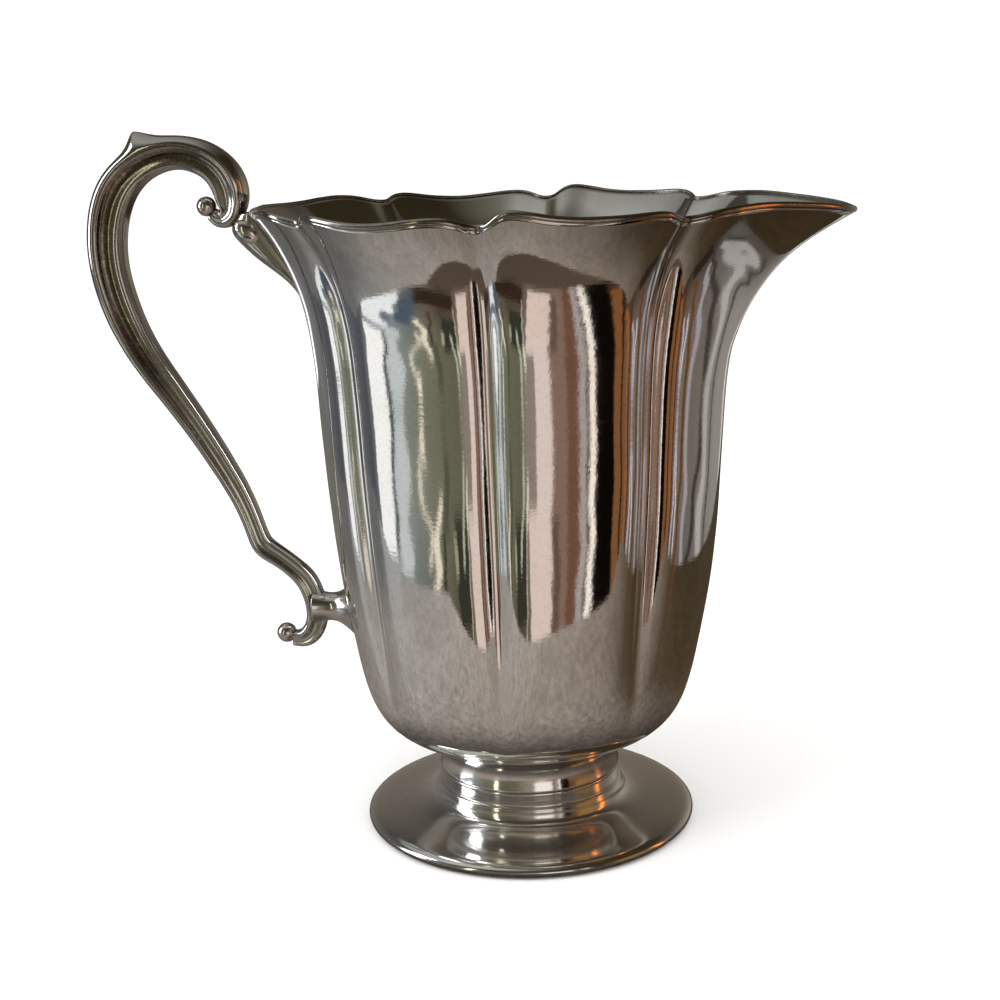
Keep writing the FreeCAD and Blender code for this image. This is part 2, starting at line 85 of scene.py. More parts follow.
# The scalloped lip: degrees from the spout and height.
LIP = [
    (0.0, 111.9), (3.5, 112.2), (9.0, 112.9), (16.0, 113.5), (24.0, 113.9), (33.0, 113.8),
    (39.0, 113.4), (43.0, 112.8), (45.0, 112.6), (47.0, 112.8), (51.0, 113.6), (54.0, 113.8),
    (60.0, 113.6), (67.5, 113.5), (75.0, 113.9), (81.0, 114.7), (85.0, 114.5), (88.0, 113.1),
    (90.0, 112.7), (92.0, 113.0), (95.0, 113.7), (99.0, 113.9), (105.0, 113.5), (113.0, 113.1),
    (121.0, 113.6), (127.0, 114.2), (131.0, 114.0), (133.5, 113.4), (135.0, 113.2), (137.0, 113.4),
    (142.0, 114.2), (147.0, 114.5), (158.0, 114.1), (170.0, 114.0), (180.0, 114.2),
]

COLLAR_BORE = 15.4
COLLAR_TOP_RADIUS = 17.5
SEAM_GAP = 0.3
SEAM_RADIUS = 16.6
FOOT_FLARE = [
    (17.4, 5.9), (17.9, 4.7), (19.6, 3.6), (22.6, 2.95), (26.0, 2.6), (29.0, 2.25), (30.5, 1.75),
    (FOOT_RADIUS, 1.1), (30.9, 0.6),
]
FOOT_UNDER = [
    (27.9, 1.0), (26.0, 1.2), (22.3, 1.75), (19.0, 2.6), (17.0, 3.9), (16.2, 5.6), (15.9, 7.6),
    (COLLAR_BORE, 9.0),
]
EDGE_TURN = (29.9, 1.0)
EDGE_Z = 0.6

# The handle's spine from the volute to the lower curl: x, z, half thickness and half width.
SPINE = [
    (-55.7, 113.7, 1.3, 1.3), (-54.2, 112.9, 1.7, 1.8), (-52.6, 113.6, 2.2, 2.5), (-51.9, 115.9, 3.0, 3.1),
    (-52.3, 118.7, 3.35, 3.4), (-54.0, 121.6, 3.3, 3.5), (-57.0, 123.7, 3.2, 3.5), (-61.0, 124.75, 3.1, 3.5),
    (-65.5, 124.2, 3.2, 3.6), (-69.6, 122.2, 3.4, 3.7), (-73.0, 118.9, 3.65, 3.8), (-75.2, 114.2, 3.75, 3.8),
    (-76.1, 109.0, 3.65, 3.7), (-75.8, 102.8, 3.55, 3.6), (-73.9, 95.6, 3.4, 3.4), (-70.3, 88.0, 3.1, 3.2),
    (-65.5, 80.8, 2.75, 3.0), (-60.6, 73.4, 2.45, 2.8), (-56.2, 66.0, 2.25, 2.6), (-53.0, 59.6, 2.05, 2.4),
    (-51.2, 54.4, 2.0, 2.3), (-49.9, 51.5, 2.1, 2.3), (-47.4, 49.6, 2.0, 2.2), (-44.5, 47.4, 1.95, 2.2),
    (-42.0, 44.8, 2.1, 2.2), (-40.7, 41.8, 2.1, 2.2), (-40.2, 38.6, 2.1, 2.2), (-40.9, 35.4, 2.05, 2.1),
    (-42.8, 33.4, 1.9, 1.9), (-45.2, 33.1, 1.5, 1.5),
]
# Half of the handle's section, from its back to its inner face, as shares of the thickness and the width.
GRIP_SECTION = [
    (1.0, 0.0), (0.93, 0.5), (0.66, 0.9), (0.42, 0.94), (0.16, 0.76), (-0.12, 0.64), (-0.42, 0.66),
    (-0.68, 0.68), (-0.9, 0.4), (-1.0, 0.0),
]
CHANNEL_WIDTH = 0.45        # of the section's half thickness
# Dark tarnish and painted shade on the cast handle: deepest in the channel, with some over the whole arch.
# The painted shade stands in for the dark room that the handle mirrors.
CHANNEL_TARNISH_AND_SHADE = 0.74
ARCH_TARNISH_AND_SHADE = 0.24
GRIP_TARNISH_AND_SHADE = 0.12           # the faint rest of the tarnish and painted shade below the arch
DARKENED_FROM = 0.03         # shares of the handle's length between which the channel is darkest
DARKENED_TO = 0.50
SPUR_AT = (-67.4, 123.5)
SPUR_HEIGHT = 2.5
SPUR_REACH = (2.2, 1.7)
VOLUTE_BEAD = (-56.8, 115.1, 1.8)       # x, z and radius
SCROLL_BEAD = (-46.5, 34.2, 1.9)
# The bracket's tongue: height, x of its free edge and half width.
BRACKET = [
    (96.5, -38.9, 0.9), (98.5, -40.1, 1.5), (100.6, -41.6, 2.0), (103.0, -44.3, 2.6), (105.5, -47.6, 3.0),
    (108.0, -50.3, 3.2), (110.5, -52.1, 3.3), (112.5, -51.6, 3.2), (113.9, -50.6, 3.0),
]
# An egg bead: x, z, half length, half height and half width.
BRACKET_BEAD = (-48.6, 110.6, 2.7, 1.9, 1.5)
BRACKET_BEAD_OFFSET = 2.6
BRACKET_BEAD_TILT = 35.0
MOUNT_Z = 39.6
# The stub's profile from the lower curl to the wall: x and radius.
MOUNT = [(-40.6, 3.4), (-38.9, 2.9), (-37.4, 2.7), (-35.8, 3.0), (-34.4, 3.8), (-32.4, 5.4)]
SOLDER_RING = (4.3, 5.3)

# ---------------------------------------------------------------- fineness of the meshes
PANEL_STEPS = 54            # steps round one of the bowl's eight panels
TURNED_STEPS = 288
STUB_STEPS = 72
BRACKET_STEPS = 48
BEAD_STEPS = 40
GRIP_STEPS = 420
HALF_GRIP_STEPS = 30
WIRE_STEPS = 15
ROUNDING_STEPS = 5
HALVINGS = 40
DENT_SIZES = (9.0, 19.0)    # fine and broad unevenness of the hammered sheet
BASE_FADE = 12.0            # it fades out over one twelfth of the wall's length at the base
LIP_FADE = 14.0             # and over one fourteenth at the lip

# ---------------------------------------------------------------- curves and the wall's shape


def spline(points):
    """Natural cubic through (x, y) pairs, as a function of numbers or arrays that holds its end values."""
    xs, ys = np.array(points, float).T
    count = len(xs)
    gap = np.diff(xs)
    rises = np.diff(ys) / gap
    system = np.eye(count)
    right = np.zeros(count)
    for i in range(1, count - 1):
        system[i, i - 1:i + 2] = gap[i - 1], 2 * (gap[i - 1] + gap[i]), gap[i]
        right[i] = 3 * (rises[i] - rises[i - 1])
    bend = np.linalg.solve(system, right)

    def value(x):
        x = np.clip(x, xs[0], xs[-1])
        i = np.clip(np.searchsorted(xs, x, side="right") - 1, 0, count - 2)
        slope = rises[i] - gap[i] * (bend[i + 1] + 2 * bend[i]) / 3
        d = x - xs[i]
        return ys[i] + d * (slope + d * (bend[i] + d * (bend[i + 1] - bend[i]) / (3 * gap[i])))

    return value


def along(points):
    """A spline through points of any dimension, by its chord length from 0 to 1."""
    points = np.array(points, float)
    reach = np.concatenate([[0], np.cumsum(np.linalg.norm(np.diff(points, axis=0), axis=1))])
    parts = [spline(np.stack([reach / reach[-1], column], 1)) for column in points.T]
    return lambda t: np.stack([part(np.asarray(t, float)) for part in parts], -1)


def smooth_step(x):
    x = np.clip(x, 0, 1)
    return x * x * (3 - 2 * x)


def unit(vectors):
    return vectors / np.linalg.norm(vectors, axis=-1, keepdims=True)


crest = along(CREST)
flute_depth = spline(FLUTE_DEPTH)
panel_section = spline(PANEL + [(1 - p, d) for p, d in reversed(PANEL[:-1])])
spout_belly = spline(SPOUT_BELLY)
spout_keel = spline(SPOUT_KEEL)
keel_width = spline(KEEL_WIDTH)
lip_height = spline(sorted([(-a, z) for a, z in LIP if 0 < a] + LIP))


def flute(angle):
    """Share of the groove depth at an angle: 1 in a groove, about 0 over a panel."""
    a = np.abs(angle)
    panel_width = FLUTES[1] - FLUTES[0]
    between = panel_section(((a - FLUTES[0]) % panel_width) / panel_width)
    nearest = np.minimum(np.abs(a - FLUTES[0]), np.abs(a - FLUTES[-1])) / panel_width
    beside = panel_section(np.minimum(nearest, 0.5))
    return np.where((a >= FLUTES[0]) & (a <= FLUTES[-1]), between, beside)


def wall_point(angle, t):
    """Points on the outside of the bowl: t runs from 0 at the base to 1 at the lip."""
    angle, t = np.broadcast_arrays((np.asarray(angle, float) + 180) % 360 - 180, np.asarray(t, float))
    radius, height = np.moveaxis(crest(t), -1, 0)
    radius = radius - flute_depth(height) * flute(angle)
    radius = radius + spout_belly(height) * 0.5 ** ((angle / BELLY_WIDTH) ** 2)
    radius = radius + spout_keel(height) * 0.5 ** ((np.abs(angle) / keel_width(height)) ** KEEL_POWER)
    share = smooth_step((height - FLARE_START_Z) / (LIP_Z - FLARE_START_Z))
    height = height + (lip_height(angle) - LIP_Z) * share
    a = np.radians(angle)
    return np.stack([radius * np.cos(a), radius * np.sin(a), height], -1)


def wall_normal(angle, t):
    """Outward unit normals of the bowl's outside, from neighbouring points."""
    turn, rise = 0.4, 0.002
    across = wall_point(angle + turn, t) - wall_point(angle - turn, t)
    up = wall_point(angle, np.minimum(t + rise, 1)) - wall_point(angle, np.maximum(t - rise, 0))
    return unit(np.cross(across, up))


# ---------------------------------------------------------------- meshes


def waver(points, size, seed):
    """Smooth noise from about -1 to 1 at points in mm, with features of that size in mm."""
    flat = points.reshape(-1, 3) / size + seed
    return np.array([noise.noise(Vector(p)) for p in flat]).reshape(points.shape[:-1])


def piece(name, points, faces, slot, nodes, material):
    """A smooth mesh piece that stands for CAD nodes, from points in mm."""
    mesh = bpy.data.meshes.new(name)
    mesh.from_pydata((np.asarray(points, float).reshape(-1, 3) * MM).tolist(), [], faces)
    shape = bmesh.new()
    shape.from_mesh(mesh)
    bmesh.ops.recalc_face_normals(shape, faces=shape.faces)
    shape.to_mesh(mesh)
    shape.free()
    mesh.polygons.foreach_set("use_smooth", [True] * len(mesh.polygons))
    mesh.materials.append(material)
    made = bpy.data.objects.new(name, mesh)
    bpy.context.scene.collection.objects.link(made)
    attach(made, RECORD_BODY)
    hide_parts(*nodes)
    return made


def carry(made, name, shares):
    """Lets the finish read a share from 0 to 1 at each of the piece's points."""
    made.data.attributes.new(name, "FLOAT", "POINT").data.foreach_set("value", np.asarray(shares, np.float32))


def grid_faces(rows, columns, row_wraps=False):
    """Quads of a grid whose columns wrap round, and whose rows may wrap too."""
    faces = []
    for i in range(rows if row_wraps else rows - 1):
        k = (i + 1) % rows
        for j in range(columns):
            m = (j + 1) % columns
            faces.append((i * columns + j, i * columns + m, k * columns + m, k * columns + j))
    return faces


def tube(grid):
    """Points and faces of a closed skin: rings of points, with a fan over the first and the last ring."""
    rows, columns = grid.shape[:2]
    points = np.concatenate([grid.reshape(-1, 3), grid[0].mean(0)[None], grid[-1].mean(0)[None]])
    low, high = len(points) - 2, len(points) - 1
    faces = grid_faces(rows, columns)
    last = (rows - 1) * columns
    for j in range(columns):
        m = (j + 1) % columns
        faces.append((low, m, j))
        faces.append((high, last + j, last + m))
    return points, faces


def full_turn(count):
    """Angles of a full turn in equal steps, in radians."""
    return np.radians(np.arange(count) * 360 / count)


def turned(profile):
    """Points and faces of a solid ring turned about Z from a closed list of (radius, height) pairs."""
    profile = np.array(profile, float)
    a = full_turn(TURNED_STEPS)
    ring = np.stack([
        profile[:, None, 0] * np.cos(a),
        profile[:, None, 0] * np.sin(a),
        np.broadcast_to(profile[:, None, 1], (len(profile), TURNED_STEPS)),
    ], -1)
    return ring, grid_faces(len(profile), TURNED_STEPS, row_wraps=True)


def curve_points(points, count):
    return [tuple(p) for p in along(points)(np.linspace(0, 1, count))]


def rounded(before, corner, after, radius):
    """Points of a small round of that radius at a corner of a profile."""
    a, b, c = (np.array(p, float) for p in (before, corner, after))
    start = b + (a - b) * min(radius / np.linalg.norm(a - b), 0.5)
    end = b + (c - b) * min(radius / np.linalg.norm(c - b), 0.5)
    places = np.linspace(0, 1, ROUNDING_STEPS)
    return [tuple((1 - s) ** 2 * start + 2 * s * (1 - s) * b + s * s * end) for s in places]


# ---------------------------------------------------------------- finishes


class Nodes:
    """Short ways to add and join the shader nodes of one material."""

    def __init__(self, name):
        self.material = bpy.data.materials.new(name)
        self.material.use_nodes = True
        self.tree = self.material.node_tree
        self.shader = self.tree.nodes["Principled BSDF"]
        self.place = self.add("ShaderNodeTexCoord").outputs["Object"]

    def add(self, kind, inputs=(), **settings):
        node = self.tree.nodes.new(kind)
        for key, value in settings.items():
            setattr(node, key, value)
        for key, value in dict(inputs).items():
            self.set(node.inputs[key], value)
        return node

    def set(self, socket, value):
        if isinstance(value, bpy.types.NodeSocket):
            self.tree.links.new(value, socket)
        else:
            socket.default_value = value

    def noise(self, scale, detail=3.0, rough=0.55, distortion=0.0, place=None):
        inputs = {"Vector": place or self.place, "Scale": scale, "Detail": detail, "Roughness": rough,
                  "Distortion": distortion}
        return self.add("ShaderNodeTexNoise", inputs).outputs["Fac"]

    def stretched(self, scale):
        """The object's coordinates with another scale along each axis."""
        return self.add("ShaderNodeMapping", {"Vector": self.place, "Scale": scale}).outputs["Vector"]

    def ramp(self, value, low, high, to_low=0.0, to_high=1.0):
        inputs = {"Value": value, "From Min": low, "From Max": high, "To Min": to_low, "To Max": to_high}
        return self.add("ShaderNodeMapRange", inputs).outputs["Result"]

    def math(self, operation, a, b):
        return self.add("ShaderNodeMath", {0: a, 1: b}, operation=operation).outputs[0]

    def mix(self, share, a, b):
        """Blends two colours; inputs 6 and 7 and output 2 are the mix node's colours."""
        node = self.add("ShaderNodeMix", data_type="RGBA")
        self.set(node.inputs["Factor"], share)
        self.set(node.inputs[6], a)
        self.set(node.inputs[7], b)
        return node.outputs[2]

    def bump(self, height, strength, distance, normal=None):
        inputs = {"Height": height, "Strength": strength, "Distance": distance}
        if normal is not None:
            inputs["Normal"] = normal
        return self.add("ShaderNodeBump", inputs).outputs["Normal"]


SILVER = (0.955, 0.945, 0.93, 1)
CAST_SILVER = (0.70, 0.68, 0.655, 1)
DULL_SILVER = (0.36, 0.325, 0.29, 1)
TARNISH = (0.74, 0.69, 0.62, 1)
# The darkest tarnish, which also serves as painted shade in the handle's channel.
DEEP_TARNISH_AND_SHADE = (0.16, 0.13, 0.10, 1)
STAIN_START = 0.101         # heights between which the stain under the lip deepens, in metres
STAIN_END = 0.1145
RECESS_REACH = 0.003
INSIDE_METAL = 0.72         # how metallic the dull inside of the bowl is
INSIDE_ROUGHNESS = 0.22     # and how much rougher it is than the outside


def dull_inside(n):
    """How far the bowl's inside has lost its polish, from the share that the mesh carries."""
    return n.add("ShaderNodeAttribute", attribute_name="inside").outputs["Fac"]


def channel_tarnish_and_shade(n):
    """Old dark tarnish and painted shade in the handle's channel, from the share of them that the mesh
    carries.
    """
    return n.add("ShaderNodeAttribute", attribute_name="channel").outputs["Fac"]


def rim_stain(n):
    """Cloudy tarnish that deepens towards the lip."""
    height = n.add("ShaderNodeSeparateXYZ", {0: n.place}).outputs["Z"]
    rise = n.ramp(height, STAIN_START, STAIN_END, 0.0, 0.6)
    return n.math("MULTIPLY", rise, n.ramp(n.noise(42.0), 0.3, 0.7, 0.5, 1.0))


def silver(name, polish=0.08, tarnish=0.35, recess=0.6, grain=1.0, metal=SILVER, darkening=None, dull=None):
    """Old silver plate: polished, with hairlines and pitting, and tarnish in patches and in recesses."""
    n = Nodes(name)
    patches = n.ramp(n.noise(28.0, detail=6.0, rough=0.6, distortion=0.4), 0.46, 0.72, 0.0, tarnish)
    pitting = n.ramp(n.noise(1300.0, rough=0.65), 0.5, 0.75, 0.0, 0.4)
    worn = n.mix(patches, metal, TARNISH)
    # The given darkening: tarnish towards the lip on the bowl; tarnish and painted shade in the handle's
    # channel.
    if darkening is not None:
        worn = n.mix(darkening(n), worn, DEEP_TARNISH_AND_SHADE)
    hollow = n.add("ShaderNodeAmbientOcclusion", {"Distance": RECESS_REACH}, samples=6).outputs["AO"]
    uneven = n.ramp(n.noise(260.0, detail=4.0), 0.3, 0.7, 0.5, 1.0)
    dirt = n.math("MULTIPLY", n.ramp(hollow, 0.35, 0.95, recess, 0.0), uneven)
    stained = n.mix(dirt, worn, DEEP_TARNISH_AND_SHADE)
    n.set(n.shader.inputs["Base Color"], n.mix(pitting, stained, TARNISH))
    n.shader.inputs["Metallic"].default_value = 1.0
    hairs = n.noise(900.0, detail=2.0, rough=0.5, distortion=0.6, place=n.stretched((0.25, 0.25, 2.2)))
    cloudy = n.noise(55.0, detail=5.0, rough=0.6, distortion=0.3)
    rough = n.ramp(cloudy, 0.3, 0.75, polish * 0.7, polish * 1.9)
    rough = n.math("ADD", rough, n.ramp(hairs, 0.55, 0.8, 0.0, polish * 0.9))
    if dull is not None:
        n.set(n.shader.inputs["Metallic"], n.ramp(dull(n), 0.0, 1.0, 1.0, INSIDE_METAL))
        rough = n.math("ADD", rough, n.ramp(dull(n), 0.0, 1.0, 0.0, INSIDE_ROUGHNESS))
    n.set(n.shader.inputs["Roughness"], n.math("ADD", rough, n.math("MULTIPLY", dirt, 0.35)))
    fine = n.noise(1400.0, rough=0.6)
    dents = n.noise(95.0, detail=2.0, rough=0.45)
    low = n.bump(dents, strength=0.10 * grain, distance=0.12 * MM)
    mid = n.bump(hairs, strength=0.10 * grain, distance=0.03 * MM, normal=low)
    n.set(n.shader.inputs["Normal"], n.bump(fine, strength=0.16 * grain, distance=0.03 * MM, normal=mid))
    return n.material


# ---------------------------------------------------------------- bowl


def around():
    """Angles round the bowl, unevenly spaced to follow the grooves and the panels between them."""
    places = np.arange(PANEL_STEPS) / PANEL_STEPS
    eased = places - 0.11 * np.sin(4 * math.pi * places) / (2 * math.pi) - 0.06 * np.sin(2 * math.pi * places)
    panel_width = FLUTES[1] - FLUTES[0]
    return np.concatenate([panel_width * (k + np.sort(eased)) for k in range(8)])


def hammered(points, normals, t, depths, seeds):
    """Points of the bowl moved by the unevenness of hand work, which fades out at the base and at the lip."""
    fine = depths[0] * waver(points, DENT_SIZES[0], seeds[0])
    broad = depths[1] * waver(points, DENT_SIZES[1], seeds[1])
    fade = smooth_step(t * BASE_FADE)[:, None] * smooth_step((1 - t) * LIP_FADE)[:, None]
    return points + normals * ((fine + broad) * fade)[..., None]


def bowl_skin():
    """The sheet bowl with its spout, outside and inside, and how dull each of its points is, from 0 to 1."""
    angles = around()
    bend = 0.7
    outside_t = np.concatenate([
        np.linspace(0, 0.06, 6)[:-1], np.linspace(0.06, bend, 60)[:-1], np.linspace(bend, 1, 42),
    ])
    inside_t = np.concatenate([np.linspace(1, bend, 32)[:-1], np.linspace(bend, 0, 50)])
    outer = wall_point(angles[None], outside_t[:, None])
    outer_normal = wall_normal(angles[None], outside_t[:, None])
    outer = hammered(outer, outer_normal, outside_t, (0.05, 0.06), (3.0, 11.0))
    inner_normal = wall_normal(angles[None], inside_t[:, None])
    inner = wall_point(angles[None], inside_t[:, None]) - inner_normal * WALL
    inner = hammered(inner, inner_normal, inside_t, (0.05, 0.05), (5.0, 17.0))
    floor_rings = []
    for ring, shares in ((outer[0], (0.3, 0.6, 0.85, 0.97)), (inner[-1], (0.97, 0.85, 0.6, 0.3))):
        centre = ring.mean(0)
        floor_rings.append(np.stack([centre + (ring - centre) * s for s in shares]))
    points, faces = tube(np.concatenate([floor_rings[0], outer, inner, floor_rings[1]]))
    dull = 1 - smooth_step((inside_t - 0.72) / 0.12)
    rows = np.concatenate([np.zeros(len(floor_rings[0]) + len(outer)), dull, np.ones(len(floor_rings[1]))])
    return points, faces, np.append(np.repeat(rows, len(angles)), (0, 1))


def rim_skin():
    """Half-round wire on the lip's edge, closed along the edge that it sits on."""
    angles = around()
    fullness = 0.17
    outer = wall_point(angles, 1.0)
    inner = outer - wall_normal(angles, 1.0) * WALL
    up = unit(outer - wall_point(angles, 0.99)) * WIRE_HEIGHT
    middle = (outer + inner) / 2
    half = (outer - inner) / 2
    section = np.radians(np.linspace(0, 180, WIRE_STEPS))
    rows = []
    for s in section:
        side = math.cos(s) * (1 + fullness * math.sin(2 * min(s, math.pi - s)))
        rows.append(middle + half * side + up * math.sin(s))
    grid = np.stack(rows)
    uneven = (0.06 * waver(grid, 4.0, 2.0) - 0.04) * np.sin(section)[:, None]
    grid = grid + (up[None] / WIRE_HEIGHT) * uneven[..., None]
    return grid, [f[::-1] for f in grid_faces(len(rows), len(angles), row_wraps=True)]


# ---------------------------------------------------------------- foot and collar


def collar_profile():
    low = SEAM_Z + SEAM_GAP / 2
    cove = curve_points([(17.0, low + 0.12), (16.75, 11.2), (16.5, 12.7), (16.7, 14.6), (17.2, 16.1)], 24)
    edge = rounded((16.2, low), (17.0, low), (17.0, low + 0.5), 0.15)
    top = [(COLLAR_TOP_RADIUS, BODY_BASE_Z), (COLLAR_BORE, BODY_BASE_Z)]
    return [(COLLAR_BORE, low)] + edge + cove[1:] + top


def foot_profile():
    top = SEAM_Z - SEAM_GAP / 2
    neck = [(16.75, top), (16.85, top - 0.12)] + curve_points([(16.88, 9.5), (16.86, 8.3), (16.9, 7.35)], 8)
    step = curve_points([(16.95, 7.22), (17.2, 7.08), (17.32, 6.95), (17.36, 6.6), (17.4, 5.95)], 12)
    flare = curve_points(FOOT_FLARE, 44)
    under = curve_points(FOOT_UNDER, 24)
    edge = [(EDGE_TURN[0], EDGE_Z), EDGE_TURN]
    return [(COLLAR_BORE, top)] + neck + step + flare + edge + under


def base_wire_profile():
    rounding = curve_points([(30.5, EDGE_Z), (30.45, 0.2), (30.2, 0.0)], 6)
    return [(27.9, 1.0), EDGE_TURN, (EDGE_TURN[0], EDGE_Z)] + rounding + [(28.3, 0.0), (27.9, 0.4)]


def body_solder_profile():
    hollow = curve_points([(18.0, 16.98), (17.55, 16.65), (17.2, 16.12)], 6)
    return [(COLLAR_TOP_RADIUS, BODY_BASE_Z), (BODY_BASE_RADIUS, BODY_BASE_Z)] + hollow


def foot_solder_profile():
    low, high = SEAM_Z - SEAM_GAP / 2, SEAM_Z + SEAM_GAP / 2
    bulge = curve_points([(SEAM_RADIUS, low), (SEAM_RADIUS + 0.06, SEAM_Z), (SEAM_RADIUS, high)], 5)
    return [(COLLAR_BORE, low)] + bulge + [(COLLAR_BORE, high)]


# ---------------------------------------------------------------- handle


def spur_rise(x, z, tangent):
    """Height of the thumb spur over the handle's back beside points of the spine."""
    beyond = (x - SPUR_AT[0]) * tangent[:, 0] + (z - SPUR_AT[1]) * tangent[:, 1]
    apart = np.hypot(x - SPUR_AT[0], z - SPUR_AT[1])
    reach = np.where(beyond < 0, SPUR_REACH[0], SPUR_REACH[1])
    return SPUR_HEIGHT * np.exp(-((apart / reach) ** 1.5))


def handle_skin():
    """The cast handle swept along its spine, and how dark its tarnish and painted shade are at each of its
    points, from 0 to 1.
    """
    spine = along(SPINE)
    section = along(GRIP_SECTION)
    step = 0.002
    t = np.linspace(0, 1, GRIP_STEPS)
    x, z, thick, wide = np.moveaxis(spine(t), -1, 0)
    ahead, behind = spine(np.minimum(t + step, 1)), spine(np.maximum(t - step, 0))
    tangent = unit((ahead - behind)[:, :2])
    outward = np.stack([tangent[:, 1], -tangent[:, 0]], 1)
    half = section(np.linspace(0, 1, HALF_GRIP_STEPS))
    outline = np.concatenate([half, half[-2:0:-1] * (1, -1)])
    n, y = outline.T
    spur = spur_rise(x, z, tangent)
    reach = n[None] * thick[:, None] + spur[:, None] * np.maximum(n, 0)[None] ** 6
    grid = np.stack([
        x[:, None] + outward[:, None, 0] * reach,
        y[None] * wide[:, None],
        z[:, None] + outward[:, None, 1] * reach,
    ], -1)
    centre = np.stack([x, np.zeros_like(x), z], -1)[:, None]
    grid = grid + unit(grid - centre) * (0.05 * waver(grid, 5.0, 7.0) - 0.03)[..., None]
    shares = (0.35, 0.75, 0.93)
    first = [centre[0] + (grid[0] - centre[0]) * s for s in shares]
    last = [centre[-1] + (grid[-1] - centre[-1]) * s for s in reversed(shares)]
    points, faces = tube(np.concatenate([np.stack(first), grid, np.stack(last)]))
    # Painted shade with the tarnish: deepest in the channel of the upper arch, a faint rest lower down.
    darkening = np.exp(-((n + 0.05) / CHANNEL_WIDTH) ** 2)[None] * CHANNEL_TARNISH_AND_SHADE + ARCH_TARNISH_AND_SHADE
    begins = smooth_step((t - DARKENED_FROM) / 0.1)
    ends = 1 - smooth_step((t - DARKENED_TO) / 0.12)
    deep = np.clip(darkening * (begins * ends + GRIP_TARNISH_AND_SHADE)[:, None], 0, 1)
    extra = len(shares)
    deep = np.concatenate([np.repeat(deep[:1], extra, 0), deep, np.repeat(deep[-1:], extra, 0)]).ravel()
    return points, faces, np.append(deep, (0, 0))


def ball_skin(centre, radii, turn=None):
    """A cast bead: a ball squeezed to its radii, with a hammered unevenness."""
    up = np.linspace(0, math.pi, BEAD_STEPS // 2 + 1)[1:-1]
    a = np.arange(BEAD_STEPS) * 2 * math.pi / BEAD_STEPS
    ball = np.stack([
        np.sin(up)[:, None] * np.cos(a),
        np.sin(up)[:, None] * np.sin(a),
        np.broadcast_to(-np.cos(up)[:, None], (len(up), BEAD_STEPS)),
    ], -1)
    ball = ball * (1 + 0.015 * waver(ball * 2, 1.0, 4.0))[..., None]
    points, faces = tube(ball)
    points[-2:] = (0, 0, -1), (0, 0, 1)
    points = points * np.array(radii)
    if turn is not None:
        points = points @ np.array(turn).T
    return points + np.array(centre), faces


def crest_radius(z):
    """Radius of the wall under the handle at a height."""
    low, high = 0.0, 1.0
    for _ in range(HALVINGS):
        t = (low + high) / 2
        if wall_point(180.0, t)[2] < z:
            low = t
        else:
            high = t
    return -wall_point(180.0, low)[0]


def bracket_skin():
    """The tongue under the flare, an ellipse at each height that reaches a little into the wall."""
    reach_in = 0.5
    heights = np.linspace(BRACKET[0][0], BRACKET[-1][0], BRACKET_STEPS)
    edge = spline([(z, x) for z, x, _ in BRACKET])(heights)
    wide = spline([(z, w) for z, _, w in BRACKET])(heights)
    root = np.array([-crest_radius(z) + reach_in for z in heights])
    a = full_turn(BRACKET_STEPS)
    middle, half = (edge + root) / 2, (root - edge) / 2
    grid = np.stack([
        middle[:, None] + half[:, None] * np.cos(a),
        wide[:, None] * np.sin(a),
        np.broadcast_to(heights[:, None], (len(heights), len(a))),
    ], -1)
    return tube(grid)


def stub_grid(profile):
    """Rings turned about the lower mount's level axis from (x, radius) pairs."""
    profile = np.array(profile)
    a = full_turn(STUB_STEPS)
    return np.stack([
        np.broadcast_to(profile[:, None, 0], (len(profile), STUB_STEPS)),
        profile[:, None, 1] * np.cos(a),
        MOUNT_Z + profile[:, None, 1] * np.sin(a),
    ], -1)


def mount_solder_grid():
    """Solder ring round the stub, hollowed towards the wall, with its hidden side inside the wall."""
    inside, outside = SOLDER_RING
    wall = -crest_radius(MOUNT_Z)
    return stub_grid(curve_points([
        (wall + 0.9, inside - 0.4),
        (wall - 0.7, inside - 0.6),
        (wall - 0.45, inside),
        (wall - 0.15, (inside + outside) / 2),
        (wall + 0.3, outside),
        (wall + 0.9, outside - 0.1),
    ], 20))


def body_pieces(solder):
    sheet = silver("silver_sheet_finish", polish=0.045, tarnish=0.22, grain=1.2, darkening=rim_stain,
                   dull=dull_inside)
    wire = silver("silver_rim_finish", polish=0.13, tarnish=0.25, recess=0.9, metal=DULL_SILVER)
    foot = silver("silver_foot_finish", polish=0.09, tarnish=0.35)
    points, faces, inside = bowl_skin()
    bowl = piece("bowl_and_spout", points, faces, "silver_sheet", ["body_shell"], sheet)
    carry(bowl, "inside", inside)
    piece("rim_half_round_wire", *rim_skin(), "silver_sheet", ["rim_wire"], wire)
    piece("spun_foot", *turned(foot_profile()), "silver_foot", ["foot_shell"], foot)
    piece("foot_ring_wire", *turned(base_wire_profile()), "silver_foot", ["foot_base_wire"], foot)
    piece("waisted_neck_collar", *turned(collar_profile()), "silver_foot", ["neck_collar"], foot)
    fillet = turned(body_solder_profile())
    piece("neck_solder_fillet", *fillet, "silver_solder", ["collar_body_solder"], solder)
    line = turned(foot_solder_profile())
    piece("seam_solder_line", *line, "silver_solder", ["collar_foot_solder"], solder)


